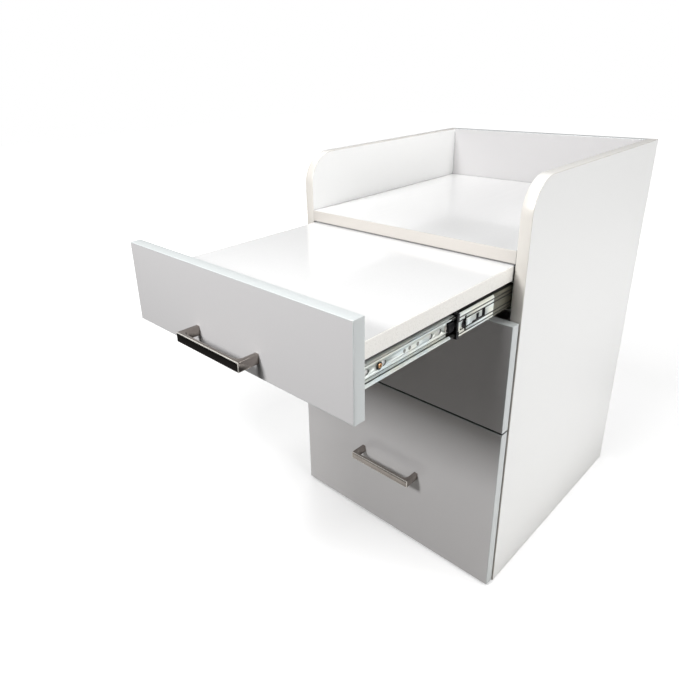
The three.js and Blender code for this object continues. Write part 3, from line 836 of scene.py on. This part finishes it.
def add_slides():
    meshes = {
        "outer": member_mesh("outer", outer_cuts),
        "middle": member_mesh("middle", middle_cuts, front_tab()),
        "inner": member_mesh("inner", inner_cuts, lever_stop()),
    }
    lever, guard, rivet, cage = lever_mesh(), guard_mesh(), rivet_mesh(), cage_mesh()
    rivet_at = Matrix.Translation((-12.3 * MM, LEVER["pivot"] * MM, 0)) @ AIM["+X"]
    for runner in RUNNERS:
        for name, side in SIDES:
            places = {part: slide_place(runner, part, name, side) for part in meshes}
            for part, mesh in meshes.items():
                stand_in(f"{runner}_slide_{part}_{name}", mesh, places[part])
            stand_in(f"{runner}_release_lever_{name}", lever, places["inner"])
            add_extra(f"{runner}_lever_rivet_{name}", rivet, runner, places["inner"] @ rivet_at)
            body = NODE_BODY[f"{runner}_slide_middle_{name}"]
            add_extra(f"{runner}_slide_cage_{name}", cage, body, places["middle"])
            if runner == "table":
                stand_in(f"table_slide_guard_{name}", guard, places["middle"])
            else:
                add_extra(f"{runner}_slide_guard_{name}", guard, body, places["middle"])


# ---- stage, lights and camera ------------------------------------------------------------------

SHADE_PLACE = (-0.34, -0.1, 0)  # the middle of the soft shade painted on the floor


def add_floor():
    """Plain paper, with one look for the camera, one for bounced light and one for reflections."""
    bpy.ops.mesh.primitive_plane_add(size=14, location=(0, 0, -0.3 * MM))
    floor = bpy.context.object
    floor.name = "floor"
    s = Shader("floor_paper", Roughness=0.9, Specular_IOR_Level=0.1)
    s.principled.inputs["Base Color"].default_value = (0.9, 0.9, 0.9, 1)
    s.bump(s.noise(0.01), 0.05 * MM, 0.2)
    place = s.node("ShaderNodeTexCoord").outputs["Object"]
    distance = s.node("ShaderNodeVectorMath", {0: place}, operation="LENGTH").outputs["Value"]
    axes = s.node("ShaderNodeSeparateXYZ", {0: place}).outputs
    # Seen directly, the paper is plain white but for a painted soft shadow to the left of the object, where
    # its glow is weaker.
    ends = {0: place, 1: SHADE_PLACE}
    beside = s.node("ShaderNodeVectorMath", ends, operation="DISTANCE").outputs["Value"]
    parts = {0: s.remap(beside, 0.02, 0.34, 0.12, 0.5), 1: s.remap(distance, 0, 0.7, 0.9, 2.4)}
    strength = s.node("ShaderNodeMath", parts, operation="ADD").outputs[0]
    glow = s.node("ShaderNodeEmission", {"Strength": strength})
    lit = s.node("ShaderNodeAddShader", {0: s.principled.outputs[0], 1: glow.outputs[0]})
    # By bounced light, it is a pale sheet to the right of the object and behind it, in a darker room.
    dark = s.ramp(distance, (0.55, (0.265, 0.25, 0.23)), (0.9, (0.03, 0.03, 0.03)))
    right, rear = s.remap(axes["X"], 0, 1, 0.2, 0.45), s.remap(axes["Y"], 0, 1, -0.35, -0.15)
    pale = s.node("ShaderNodeMath", {0: right, 1: rear}, operation="MULTIPLY").outputs[0]
    sheet = s.mix(pale, dark, (0.85, 0.85, 0.85, 1))
    # Polished parts also mirror the paper close to the object as pale.
    path = s.node("ShaderNodeLightPath").outputs
    near = s.ramp(distance, (0.5, (0.8, 0.8, 0.78)), (0.62, (0.03, 0.03, 0.03)))
    shiny = s.mix(pale, near, (0.85, 0.85, 0.85, 1))
    bounced = s.node("ShaderNodeBsdfDiffuse", {"Color": s.mix(path["Is Glossy Ray"], sheet, shiny)})
    seen = path["Is Camera Ray"]
    mix = s.node("ShaderNodeMixShader", {"Fac": seen, 1: bounced.outputs[0], 2: lit.outputs[0]})
    s.tree.links.new(mix.outputs[0], s.tree.nodes["Material Output"].inputs["Surface"])
    floor.data.materials.append(s.material)


def add_world():
    """White to the camera, and a dim room by bounced light."""
    world = bpy.data.worlds.new("studio")
    bpy.context.scene.world = world
    world.use_nodes = True
    tree = world.node_tree
    seen = tree.nodes.new("ShaderNodeLightPath").outputs["Is Camera Ray"]
    strength = tree.nodes.new("ShaderNodeMapRange")
    strength.inputs["To Min"].default_value = 0.06
    tree.links.new(seen, strength.inputs["Value"])
    tree.links.new(strength.outputs["Result"], tree.nodes["Background"].inputs["Strength"])
    tree.nodes["Background"].inputs["Color"].default_value = (1, 1, 1, 1)


LIGHT_TARGET = Vector((0, -0.15, 0.35))
# Each softbox: name, degrees from the front towards the right, degrees above the floor, metres away, side in
# metres, watts.
SOFTBOXES = (
    ("front_key", -10, 31.5, 2.1, 0.35, 25),
    ("front_high", -10, 58, 2.1, 0.8, 22),
    ("top", 0, 88, 2.3, 1.0, 8),
    ("rear_right_high", 120, 58, 2.6, 1.0, 11),
    ("rear_right_low", 120, 12, 2.6, 1.0, 12),
    ("rear_left", 225, 8, 2.6, 1.2, 34),
    ("right_low", 83, 18, 2.6, 1.0, 27),
)


def add_lights():
    for name, azimuth, elevation, away, side, power in SOFTBOXES:
        a, e = math.radians(azimuth), math.radians(elevation)
        outwards = Vector((math.sin(a) * math.cos(e), -math.cos(a) * math.cos(e), math.sin(e)))
        data = bpy.data.lights.new(name, "AREA")
        data.shape, data.size, data.energy = "SQUARE", side, power
        light = bpy.data.objects.new(name, data)
        light.visible_glossy = name != "rear_left"  # it would show as a streak in the table top
        bpy.context.scene.collection.objects.link(light)
        turn = (-outwards).to_track_quat("-Z", "Y").to_matrix().to_4x4()
        light.matrix_world = Matrix.Translation(LIGHT_TARGET + outwards * away) @ turn


CAMERA_AZIMUTH = 0.801415
CAMERA_ELEVATION = 0.392349
CAMERA_ROLL = -0.036351
CAMERA_PLACE = (0.51597, -0.90292, 0.78036)
CAMERA_FOCUS = 587.73  # focal length and image centre, in the units of a 679 x 679 frame
CAMERA_CENTRE = (314.15, 305.97)
FRAME_SIZE = 679


def add_camera():
    sin_a, cos_a = math.sin(CAMERA_AZIMUTH), math.cos(CAMERA_AZIMUTH)
    sin_e, cos_e = math.sin(CAMERA_ELEVATION), math.cos(CAMERA_ELEVATION)
    back = Vector((sin_a * cos_e, -cos_a * cos_e, sin_e))
    level = Vector((cos_a, sin_a, 0))
    upright = back.cross(level)
    sin_r, cos_r = math.sin(CAMERA_ROLL), math.cos(CAMERA_ROLL)
    right = level * cos_r + upright * sin_r
    up = upright * cos_r - level * sin_r
    turn = Matrix((right, up, back)).transposed().to_4x4()
    data = bpy.data.cameras.new("camera")
    data.sensor_width = 36
    data.lens = CAMERA_FOCUS / FRAME_SIZE * data.sensor_width
    data.shift_x = 0.5 - CAMERA_CENTRE[0] / FRAME_SIZE
    data.shift_y = CAMERA_CENTRE[1] / FRAME_SIZE - 0.5
    camera = bpy.data.objects.new("camera", data)
    bpy.context.scene.collection.objects.link(camera)
    camera.matrix_world = Matrix.Translation(CAMERA_PLACE) @ turn
    bpy.context.scene.camera = camera


add_boards()
add_handles()
add_screws()
add_slides()
add_floor()
add_world()
add_lights()
add_camera()
bpy.context.scene.view_settings.view_transform = "Standard"
